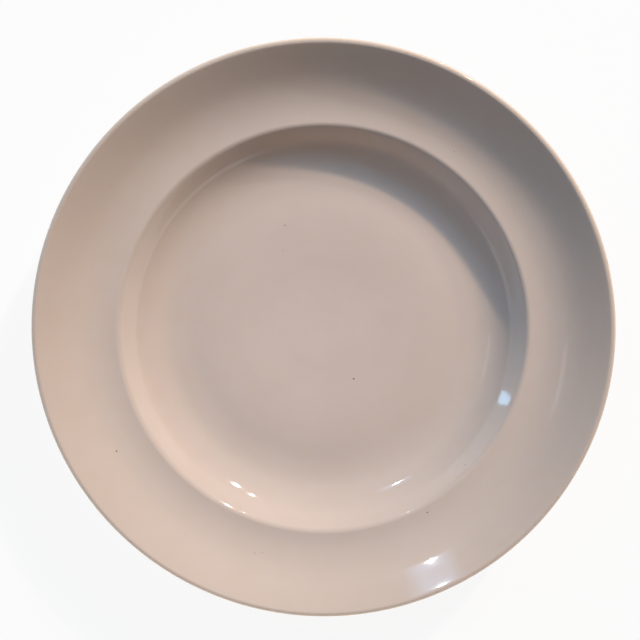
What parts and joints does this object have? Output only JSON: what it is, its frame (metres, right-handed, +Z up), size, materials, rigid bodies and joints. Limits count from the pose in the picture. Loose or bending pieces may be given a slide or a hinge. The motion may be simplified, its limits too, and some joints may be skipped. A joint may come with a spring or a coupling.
{
  "type": "cake plate",
  "caption": "Round glazed ceramic plate with a wide flared rim, a crisp shoulder and a deep rounded well, standing on a bare clay foot ring, for serving cake or other food.",
  "frame": {"origin": "middle of the foot ring's resting plane, on the plate's axis", "axes": "+Z up along the plate's axis, out of the well; the plate is round, so X and Y are free"},
  "size_m": [0.29, 0.29, 0.0414],
  "materials": {
    "fired_clay": "matte",
    "cream_glaze": "gloss"
  },
  "bodies": {
    "root": {"clay_body": "fired_clay", "glaze_coat": "cream_glaze", "base_glaze": "cream_glaze"}
  },
  "joints": []
}
